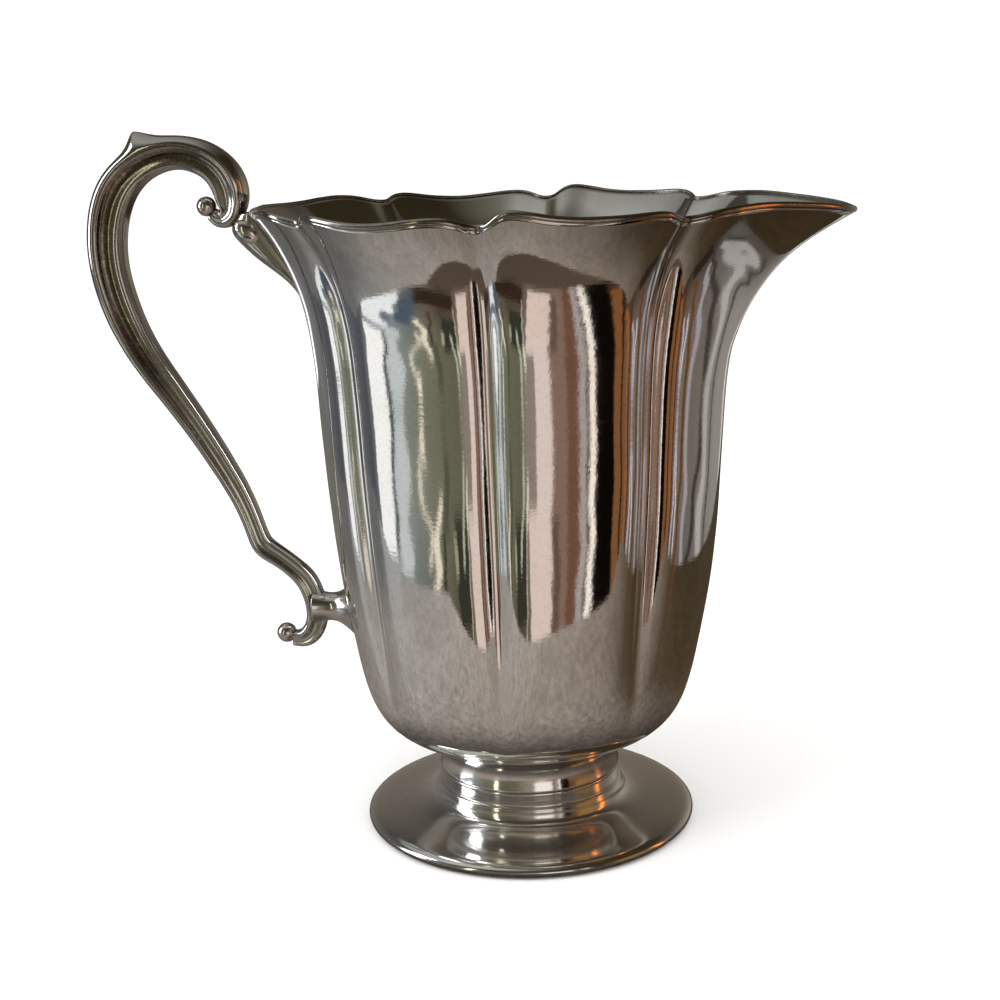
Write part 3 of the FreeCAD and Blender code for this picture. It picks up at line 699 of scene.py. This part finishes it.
def handle_pieces(solder):
    casting = silver("silver_casting_finish", polish=0.11, tarnish=0.5, recess=0.95, grain=1.4,
                     metal=CAST_SILVER)
    # The grip's finish carries the channel's tarnish and painted shade.
    grip = silver("silver_grip_finish_and_painted_shade", polish=0.1, tarnish=0.4, recess=0.95, grain=1.4, metal=CAST_SILVER,
                  darkening=channel_tarnish_and_shade)
    points, faces, deep = handle_skin()
    handle = piece("cast_scroll_handle", points, faces, "silver_casting", ["handle_scroll"], grip)
    carry(handle, "channel", deep)
    for name, (x, z, r), node in (
        ("volute_ball", VOLUTE_BEAD, "volute_bead"),
        ("scroll_ball", SCROLL_BEAD, "scroll_bead"),
    ):
        piece(name, *ball_skin((x, 0, z), (r, r, r)), "silver_casting", [node], casting)
    piece("handle_bracket", *bracket_skin(), "silver_casting", ["upper_bracket"], casting)
    x, z, long, high, wide = BRACKET_BEAD
    tilt = Matrix.Rotation(math.radians(BRACKET_BEAD_TILT), 3, "Y")
    eggs = [ball_skin((x, side * BRACKET_BEAD_OFFSET, z), (long, wide, high), tilt) for side in (-1, 1)]
    points = np.concatenate([eggs[0][0], eggs[1][0]])
    offset = len(eggs[0][0])
    faces = eggs[0][1] + [tuple(v + offset for v in f) for f in eggs[1][1]]
    piece("bracket_egg_beads", points, faces, "silver_casting", ["bracket_beads"], casting)
    points, faces = tube(stub_grid(curve_points(MOUNT, 40)))
    piece("lower_mount_stub", points, faces, "silver_casting", ["lower_mount"], casting)
    ring = mount_solder_grid()
    faces = grid_faces(len(ring), ring.shape[1], row_wraps=True)
    piece("mount_solder_fillet", ring, faces, "silver_solder", ["lower_mount_solder"], solder)


# ---------------------------------------------------------------- studio


def glow(name, strength):
    """A light-giving finish whose colour comes from the card's own paint."""
    material = bpy.data.materials.new(name)
    material.use_nodes = True
    tree = material.node_tree
    tree.nodes.clear()
    out = tree.nodes.new("ShaderNodeOutputMaterial")
    emit = tree.nodes.new("ShaderNodeEmission")
    emit.inputs["Strength"].default_value = strength
    paint = tree.nodes.new("ShaderNodeAttribute")
    paint.attribute_name = "paint"
    tree.links.new(paint.outputs["Color"], emit.inputs["Color"])
    tree.links.new(emit.outputs[0], out.inputs[0])
    return material


def linear(colour):
    """Screen colour from 0 to 255, as a linear one."""
    c = np.array(colour, float) / 255
    return np.where(c <= 0.04045, c / 12.92, ((c + 0.055) / 1.055) ** 2.4)


def only_reflected(card):
    """Keeps a card out of every sight but mirrored ones."""
    card.visible_camera = False
    card.visible_diffuse = False
    card.visible_shadow = False
    card.visible_transmission = False
    card.visible_volume_scatter = False


def painted_card(name, points, colours, material):
    """A sheet of quads through rows of points, with a colour at each of them, that only reflections see."""
    rows, columns = points.shape[:2]
    faces = []
    for i in range(rows - 1):
        for j in range(columns - 1):
            first = i * columns + j
            faces.append((first, first + 1, first + columns + 1, first + columns))
    mesh = bpy.data.meshes.new(name)
    mesh.from_pydata(points.reshape(-1, 3).tolist(), [], faces)
    paint = mesh.color_attributes.new("paint", "FLOAT_COLOR", "POINT")
    rgba = np.concatenate([colours.reshape(-1, 3), np.ones((rows * columns, 1))], 1)
    paint.data.foreach_set("color", rgba.astype(np.float32).ravel())
    mesh.materials.append(material)
    made = bpy.data.objects.new(name, mesh)
    bpy.context.scene.collection.objects.link(made)
    only_reflected(made)


def by_level(tones, at, places):
    """Linear colours along a line at each level, from rows of a place and its colours at the levels."""
    rows = []
    for k in range(tones.shape[1]):
        rows.append(np.stack([np.interp(places, at, tones[:, k, c]) for c in range(3)], -1))
    return np.stack(rows)


def read_tones(table):
    """The places and the linear colours of a table of tones."""
    return [row[0] for row in table], np.array([[linear(c) for c in row[1:]] for row in table])


def blend_levels(levels, values):
    """The level under each value, and how far the value is on the way to the next one."""
    share = np.interp(values, levels, np.arange(len(levels)))
    low = np.minimum(share.astype(int), len(levels) - 2)
    return low, (share - low)[..., None]


def table_finish():
    """The table's paint with a fine grain like worn stone, and a sheen that shows the room at low angles."""
    material = glow("table_finish", TABLE_POWER)
    tree = material.node_tree
    emit = next(node for node in tree.nodes if node.type == "EMISSION")
    out = next(node for node in tree.nodes if node.type == "OUTPUT_MATERIAL")
    place = tree.nodes.new("ShaderNodeTexCoord")
    shade = emit.inputs["Color"].links[0].from_socket
    for scale, low, high in TABLE_GRAINS:
        grain = tree.nodes.new("ShaderNodeTexNoise")
        grain.inputs["Scale"].default_value = scale
        grain.inputs["Detail"].default_value = 4.0
        grain.inputs["Roughness"].default_value = 0.7
        tree.links.new(place.outputs["Object"], grain.inputs["Vector"])
        spread = tree.nodes.new("ShaderNodeMapRange")
        for key, value in {"From Min": 0.3, "From Max": 0.7, "To Min": low, "To Max": high}.items():
            spread.inputs[key].default_value = value
        tree.links.new(grain.outputs["Fac"], spread.inputs["Value"])
        scaled = tree.nodes.new("ShaderNodeVectorMath")
        scaled.operation = "SCALE"
        tree.links.new(shade, scaled.inputs[0])
        tree.links.new(spread.outputs[0], scaled.inputs["Scale"])
        shade = scaled.outputs[0]
    tree.links.new(shade, emit.inputs["Color"])
    sheen = tree.nodes.new("ShaderNodeBsdfAnisotropic")
    sheen.inputs["Roughness"].default_value = TABLE_ROUGHNESS
    edge_on = tree.nodes.new("ShaderNodeFresnel")
    edge_on.inputs["IOR"].default_value = TABLE_SHEEN
    blend = tree.nodes.new("ShaderNodeMixShader")
    tree.links.new(edge_on.outputs[0], blend.inputs[0])
    tree.links.new(emit.outputs[0], blend.inputs[1])
    tree.links.new(sheen.outputs[0], blend.inputs[2])
    tree.links.new(blend.outputs[0], out.inputs[0])
    return material


# The room that the silver mirrors is a round wall with a table in it. Its colours are screen colours, and
# those above 255 are brighter than white.
ROOM_RADIUS = 0.7
ROOM_FLOOR = -0.62
ROOM_CEILING = 0.6
ROOM_POWER = 1.1
ROOM_COLUMNS = 1081
ROOM_ROWS = 150
SWAY_TURN = 70.0            # radians per metre of the furnishings' swaying edges
LEVEL_SOFTNESS = 0.02       # softness of their upper and lower edges, in metres
# Broad tones of the wall: degrees about the jug, then colours low down, under the table's level, over it and
# high up, at the heights in TONE_LEVELS.
TONE_LEVELS = (-0.42, -0.16, 0.12, 0.5)
WALL_TONES = [
    (-180, (70, 72, 78), (72, 74, 78), (76, 76, 76), (76, 74, 70)),
    (-155, (100, 108, 116), (150, 156, 160), (120, 120, 116), (84, 80, 76)),
    (-146, (82, 88, 94), (120, 126, 118), (104, 104, 94), (72, 68, 62)),
    (-136, (96, 84, 72), (112, 112, 96), (92, 92, 78), (66, 62, 54)),
    (-120, (70, 60, 50), (98, 98, 80), (84, 84, 68), (64, 60, 50)),
    (-100, (78, 68, 58), (96, 92, 76), (92, 88, 74), (60, 56, 48)),
    (-86, (112, 98, 90), (128, 118, 108), (130, 120, 110), (60, 56, 50)),
    (-62, (110, 92, 82), (138, 122, 114), (130, 120, 112), (60, 54, 48)),
    (-50, (120, 94, 80), (126, 98, 82), (104, 90, 80), (56, 50, 44)),
    (-36, (62, 44, 34), (84, 62, 48), (84, 64, 50), (50, 42, 36)),
    (-20, (56, 40, 30), (112, 80, 56), (104, 76, 52), (54, 44, 36)),
    (5, (72, 58, 50), (112, 100, 92), (116, 98, 84), (64, 56, 50)),
    (30, (60, 52, 46), (104, 96, 92), (112, 104, 96), (66, 60, 54)),
    (55, (84, 78, 72), (130, 126, 120), (150, 146, 132), (76, 70, 64)),
    (85, (110, 104, 98), (140, 134, 128), (112, 102, 90), (68, 62, 54)),
    (110, (104, 102, 100), (132, 132, 134), (120, 112, 104), (62, 58, 54)),
    (150, (84, 88, 94), (84, 90, 100), (96, 94, 92), (74, 70, 68)),
    (180, (70, 72, 78), (72, 74, 78), (76, 76, 76), (76, 74, 70)),
]
# What stands or hangs before it: what it is, middle and half width in degrees, middle and half height in
# metres, how far it leans in degrees per metre, how far its edges sway and how soft they are, both in
# degrees, and its colour.
FURNISHINGS = [
    ("dark cupboard", -106, 12, -0.285, 0.085, 20, 1.5, 2.5, (50, 50, 42)),
    ("pale spot in its door", -118, 2.5, -0.25, 0.03, 30, 0.5, 1.2, (150, 146, 120)),
    ("olive curtain fold", -126, 3, -0.17, 0.05, 40, 1.0, 1.5, (78, 80, 66)),
    ("dark skirting", -120, 24, -0.5, 0.06, 0, 1.0, 3.0, (50, 38, 28)),
    ("window", -163, 8.5, -0.15, 0.07, 14, 0.8, 1.0, (238, 238, 236)),
    ("bright floor under the window", -163, 9, -0.37, 0.13, -20, 1.2, 1.5, (226, 229, 230)),
    ("blue-grey rug on it", -157, 3, -0.3, 0.03, 40, 1.0, 1.5, (96, 106, 118)),
    ("blue-grey panel beside it", -148, 4, -0.38, 0.09, 0, 1.0, 1.5, (72, 84, 96)),
    ("pale sill streaks", -152, 3.5, -0.17, 0.08, 20, 1.2, 1.5, (184, 190, 190)),
    ("dark gap", -155.5, 1.0, -0.15, 0.07, 18, 0.8, 0.6, (60, 64, 66)),
    ("cream lampshade edge", -137, 1.6, -0.25, 0.08, 50, 1.2, 0.8, (222, 212, 190)),
    ("second lampshade edge", -141, 0.9, -0.19, 0.06, -30, 1.6, 0.6, (206, 200, 180)),
    ("cream spot", -140, 1.2, -0.12, 0.012, 0, 0.0, 0.8, (236, 226, 204)),
    ("dark stand", -133, 1.1, -0.3, 0.09, 10, 1.0, 0.8, (56, 52, 44)),
    ("greenish slats", -99, 2.0, -0.2, 0.07, 90, 0.8, 1.0, (164, 170, 152)),
    ("cream slat", -89, 1.6, -0.185, 0.03, 60, 0.6, 1.0, (214, 206, 186)),
    ("pink wall", -75, 12, -0.38, 0.19, 0, 0.6, 1.6, (208, 188, 178)),
    ("pink wall, higher part", -68.5, 6.2, -0.16, 0.1, 30, 0.4, 1.4, (208, 190, 182)),
    ("thin pale line", -94, 0.7, -0.34, 0.12, 20, 0.8, 0.5, (190, 176, 160)),
    ("greyed wall", -58.5, 3.4, -0.2, 0.5, 0, 0.3, 1.0, (122, 100, 88)),
    ("shadow on it", -60.5, 1.6, -0.36, 0.16, 0, 0.4, 1.2, (92, 74, 64)),
    ("rosy wood", -53, 2.4, -0.2, 0.5, 0, 0.3, 0.8, (104, 72, 56)),
    ("grey post", -49.6, 1.4, -0.2, 0.5, 0, 0.2, 0.5, (158, 150, 146)),
    ("dark line of the post", -47.9, 0.5, -0.2, 0.5, 0, 0.2, 0.3, (70, 56, 50)),
    ("cream door edge", -46.0, 1.3, -0.2, 0.5, 0, 0.3, 0.4, (238, 228, 216)),
    ("black doorway", -39.2, 5.4, -0.2, 0.45, 0, 0.3, 0.5, (10, 6, 4)),
    ("brown door", -29.5, 4.0, -0.26, 0.26, 0, 0.6, 0.8, (120, 78, 46)),
    ("dark panel in it", -24.5, 1.3, -0.3, 0.2, 0, 0.5, 0.8, (40, 26, 18)),
    ("orange lamp glow", -17, 2.2, -0.22, 0.12, 20, 0.8, 1.0, (140, 88, 46)),
    ("brown wood", -12, 1.6, -0.25, 0.16, 0, 0.5, 0.8, (70, 46, 32)),
    ("lilac streak", -5, 1.8, -0.17, 0.07, 30, 1.0, 1.0, (168, 168, 186)),
    ("white streak", 1.5, 1.4, -0.17, 0.06, -20, 1.0, 0.8, (196, 194, 196)),
    ("dark low cupboard", 15, 16, -0.42, 0.05, 0, 1.0, 2.5, (44, 36, 28)),
    ("orange-brown fold", 10, 3.0, -0.2, 0.14, 20, 1.4, 1.2, (96, 62, 34)),
    ("lilac-grey fold", 24, 3.0, -0.2, 0.12, -20, 1.4, 1.5, (150, 144, 148)),
    ("dark fold", 33, 1.6, -0.22, 0.14, 15, 1.2, 1.0, (58, 52, 46)),
    ("pale fold", 41, 2.4, -0.2, 0.14, -10, 1.2, 1.2, (164, 160, 156)),
    ("dark fold by the wall", 47, 1.0, -0.2, 0.15, 0, 1.0, 0.8, (72, 66, 60)),
    ("white stripe", 70, 1.6, -0.12, 0.12, 10, 0.6, 0.8, (214, 212, 206)),
    ("small white spot", 122, 2.2, -0.035, 0.02, 0, 0.0, 1.0, (300, 305, 310)),
    ("tall bright window", -168, 9.5, 0.32, 0.30, 0, 0.3, 1.0, (470, 480, 495)),
    ("lit curtain in front", -66, 11, 0.09, 0.13, 0, 1.0, 3.0, (236, 230, 222)),
    ("standing lamp", -124, 2.2, 0.21, 0.26, 0, 0.4, 0.8, (330, 322, 285)),
    ("orange lamp", 11.5, 2.6, 0.17, 0.19, 0, 0.4, 1.4, (350, 205, 84)),
    ("ochre wall by the lamp", -12, 12, 0.2, 0.2, 0, 1.0, 5.0, (140, 104, 56)),
]


def soft_box(away, half, edge):
    """1 inside a band and 0 outside it, with a soft edge."""
    return smooth_step((half - np.abs(away)) / edge + 0.5)


def room_wall():
    """The round wall with its tones and furnishings."""
    azimuths = np.linspace(-180, 180, ROOM_COLUMNS)
    levels = np.linspace(ROOM_FLOOR, ROOM_CEILING, ROOM_ROWS)
    at, tones = read_tones(WALL_TONES)
    rows = by_level(tones, at, azimuths)
    low, part = blend_levels(TONE_LEVELS, levels[:, None])
    low = low[:, 0]
    colours = rows[low] * (1 - part) + rows[low + 1] * part
    height = levels[:, None]
    for _, middle, half, level, tall, lean, sway, soft, colour in FURNISHINGS:
        centre = middle + lean * (height - level) + sway * np.sin(height * SWAY_TURN + middle)
        away = (azimuths[None] - centre + 180) % 360 - 180
        cover = (soft_box(away, half, soft) * soft_box(height - level, tall, LEVEL_SOFTNESS))[..., None]
        colours = colours * (1 - cover) + linear(colour) * cover
    a = np.radians(azimuths)[None]
    x, y, z = np.broadcast_arrays(ROOM_RADIUS * np.cos(a), ROOM_RADIUS * np.sin(a), height)
    painted_card("room_wall", np.stack([x, y, z], -1), colours, glow("room_glow", ROOM_POWER))


TABLE_POWER = 1.08
TABLE_ROUGHNESS = 0.22
TABLE_SHEEN = 1.12          # refractive index of the faint sheen
TABLE_GRAINS = [(300.0, 0.62, 1.34), (45.0, 0.86, 1.12)]        # scale, darkest share and brightest share
TABLE_LEVEL = -0.0004
TABLE_TURN = 7.5            # degrees that the table's front edge is turned from the X axis
TABLE_SPAN = (-0.253, 0.150)
TABLE_REACH = (-0.096, 0.45)
TABLE_CORNER = (0.160, 0.120)           # what its cut left front corner takes away, along the edge and back
# The table top: place along its front edge, then colours at the distances back in TABLE_ROWS.
TABLE_ROWS = (-0.096, -0.03, 0.03, 0.2)
# Right of the foot the tones turn dark brown: a painted shadow of the jug on the table.
TABLE_TONES = [
    (-0.25, (132, 130, 126), (112, 112, 112), (104, 104, 104), (104, 104, 102)),
    (-0.16, (144, 140, 134), (122, 120, 118), (100, 100, 100), (108, 106, 102)),
    (-0.10, (156, 150, 144), (150, 145, 139), (134, 129, 122), (112, 108, 102)),
    (-0.06, (162, 154, 147), (150, 143, 137), (130, 124, 117), (108, 102, 96)),
    (0.0, (156, 147, 138), (138, 128, 119), (108, 98, 88), (90, 80, 68)),
    (0.045, (146, 134, 124), (114, 104, 97), (84, 72, 58), (70, 60, 46)),
    (0.075, (130, 118, 108), (80, 68, 54), (68, 56, 40), (60, 50, 36)),
    (0.15, (110, 98, 86), (70, 58, 42), (62, 50, 34), (56, 46, 30)),
]


SHADOW_DEPTH = 0.7          # the foot's contact shadow takes this share of the light away
SHADOW_START = 0.030
SHADOW_WIDTH = 0.032


def table_top():
    """The table top with its cut corner and the contact shadow round the foot."""
    u = np.linspace(*TABLE_SPAN, 90)
    width, depth = TABLE_CORNER
    front = TABLE_REACH[0] + np.clip((TABLE_SPAN[0] + width - u) / width, 0, 1) * depth
    shares = np.linspace(0, 1, 110)[:, None] ** 1.5
    v = front + (TABLE_REACH[1] - front) * shares
    at, tones = read_tones(TABLE_TONES)
    rows = by_level(tones, at, u)
    low, part = blend_levels(TABLE_ROWS, v)
    column = np.arange(len(u))[None]
    shadow = 1 - SHADOW_DEPTH + SHADOW_DEPTH * smooth_step((np.hypot(u, v) - SHADOW_START) / SHADOW_WIDTH)
    colours = (rows[low, column] * (1 - part) + rows[low + 1, column] * part) * shadow[..., None]
    turn = math.radians(TABLE_TURN)
    points = np.stack([
        u * math.cos(turn) - v * math.sin(turn),
        u * math.sin(turn) + v * math.cos(turn),
        np.full_like(v, TABLE_LEVEL),
    ], -1)
    painted_card("table_top", points, colours, table_finish())


# The ceiling: place along X, then colours at the places along Y in CEILING_ROWS.
CEILING_HALF = 0.7
CEILING_STEPS = 90
CEILING_ROWS = (-0.45, -0.15, 0.5)
CEILING_TONES = [
    (-0.7, (70, 66, 62), (150, 152, 148), (120, 120, 116)),
    (-0.35, (64, 60, 56), (176, 178, 174), (150, 152, 148)),
    (-0.1, (62, 58, 54), (170, 172, 166), (120, 118, 112)),
    (0.05, (60, 56, 52), (112, 110, 98), (80, 76, 66)),
    (0.2, (60, 56, 52), (54, 48, 34), (50, 44, 30)),
    (0.7, (58, 54, 50), (50, 44, 30), (48, 42, 28)),
]


def ceiling():
    places = np.linspace(-CEILING_HALF, CEILING_HALF, CEILING_STEPS)
    at, tones = read_tones(CEILING_TONES)
    rows = by_level(tones, at, places)
    low, part = blend_levels(CEILING_ROWS, places[:, None])
    low = low[:, 0]
    colours = rows[low] * (1 - part) + rows[low + 1] * part
    x, y = np.meshgrid(places, places)
    points = np.stack([x, y, np.full_like(x, ROOM_CEILING)], -1)
    painted_card("ceiling", points, colours, glow("ceiling_glow", ROOM_POWER))


ROOM_FLOOR_HALF = 0.7
ROOM_FLOOR_COLOUR = (88, 74, 62)


def room_floor():
    """The dark floor of the room, far under the table."""
    places = np.array([-ROOM_FLOOR_HALF, ROOM_FLOOR_HALF])
    x, y = np.meshgrid(places, places)
    points = np.stack([x, y, np.full_like(x, ROOM_FLOOR)], -1)
    colours = np.broadcast_to(linear(ROOM_FLOOR_COLOUR), points.shape)
    painted_card("room_floor", points, colours, glow("room_floor_glow", 1.0))


FLOOR_HALF = 4.0
FLOOR_GAP = 0.0002          # the floor lies this far under the ring that stands on it, so that both are seen
FLOOR_LIGHT = (0.96, 0.957, 0.95, 1)
FLOOR_SHADE = (0.93, 0.925, 0.915, 1)
WORLD_COLOUR = (1.0, 0.995, 0.985, 1)
WORLD_POWER = 1.15
LIGHTS = [
    ("key_light", (-0.5, -0.4, 0.7), 0.5, 3.0),
    ("fill_light", (0.6, -0.3, 0.6), 0.6, 1.5),
]
LIGHT_AIM = (0, 0, 0.06)


def pale_floor():
    mesh = bpy.data.meshes.new("pale_floor")
    h = FLOOR_HALF
    mesh.from_pydata([(-h, -h, 0), (h, -h, 0), (h, h, 0), (-h, h, 0)], [], [(0, 1, 2, 3)])
    floor = bpy.data.objects.new("pale_floor", mesh)
    n = Nodes("pale_floor_finish")
    n.set(n.shader.inputs["Base Color"], n.mix(n.noise(3.0), FLOOR_SHADE, FLOOR_LIGHT))
    n.shader.inputs["Roughness"].default_value = 0.9
    n.shader.inputs["Specular IOR Level"].default_value = 0.0
    mesh.materials.append(n.material)
    bpy.context.scene.collection.objects.link(floor)
    floor.location.z = -FLOOR_GAP
    floor.visible_glossy = False


def studio():
    scene = bpy.context.scene
    scene.view_settings.view_transform = "Standard"
    world = bpy.data.worlds.new("pale_studio")
    world.use_nodes = True
    background = world.node_tree.nodes["Background"]
    background.inputs["Color"].default_value = WORLD_COLOUR
    background.inputs["Strength"].default_value = WORLD_POWER
    scene.world = world

    pale_floor()
    room_wall()
    table_top()
    ceiling()
    room_floor()

    for name, place, size, power in LIGHTS:
        light = bpy.data.lights.new(name, "AREA")
        light.size = size
        light.energy = power
        lamp = bpy.data.objects.new(name, light)
        lamp.location = place
        lamp.rotation_euler = (Vector(LIGHT_AIM) - Vector(place)).to_track_quat("-Z", "Y").to_euler()
        lamp.visible_glossy = False
        scene.collection.objects.link(lamp)


# ---------------------------------------------------------------- camera
CAMERA_AZIMUTH = 8.07       # degrees round the jug from straight in front, towards the spout
CAMERA_DISTANCE = 287.28    # level distance from the jug's axis
CAMERA_HEIGHT = 129.06
CAMERA_AIM = -0.856         # degrees to the right of the jug's axis
CAMERA_PITCH = -13.36
CAMERA_ROLL = -1.61
FOCAL_SHARE = 1.6027        # focal length as a share of the picture's width
SENSOR = 36.0


def camera():
    azimuth, aim = math.radians(CAMERA_AZIMUTH), math.radians(CAMERA_AIM - CAMERA_AZIMUTH)
    pitch, roll = math.radians(CAMERA_PITCH), math.radians(CAMERA_ROLL)
    level_place = (CAMERA_DISTANCE * math.sin(azimuth), -CAMERA_DISTANCE * math.cos(azimuth))
    place = Vector((*level_place, CAMERA_HEIGHT)) * MM
    ahead = Vector((math.sin(aim) * math.cos(pitch), math.cos(aim) * math.cos(pitch), math.sin(pitch)))
    level = Vector((math.cos(aim), -math.sin(aim), 0))
    upright = level.cross(ahead)
    right = level * math.cos(roll) + upright * math.sin(roll)
    up = upright * math.cos(roll) - level * math.sin(roll)
    data = bpy.data.cameras.new("camera")
    data.sensor_width = SENSOR
    data.lens = FOCAL_SHARE * SENSOR
    data.clip_start = 0.01
    made = bpy.data.objects.new("camera", data)
    axes = Matrix((right, up, -ahead)).transposed().to_4x4()
    made.matrix_world = Matrix.Translation(place) @ axes
    bpy.context.scene.collection.objects.link(made)
    bpy.context.scene.camera = made


camera()
studio()
solder_finish = silver("silver_solder_finish", polish=0.25, tarnish=0.9, recess=0.9, grain=1.8)
body_pieces(solder_finish)
handle_pieces(solder_finish)
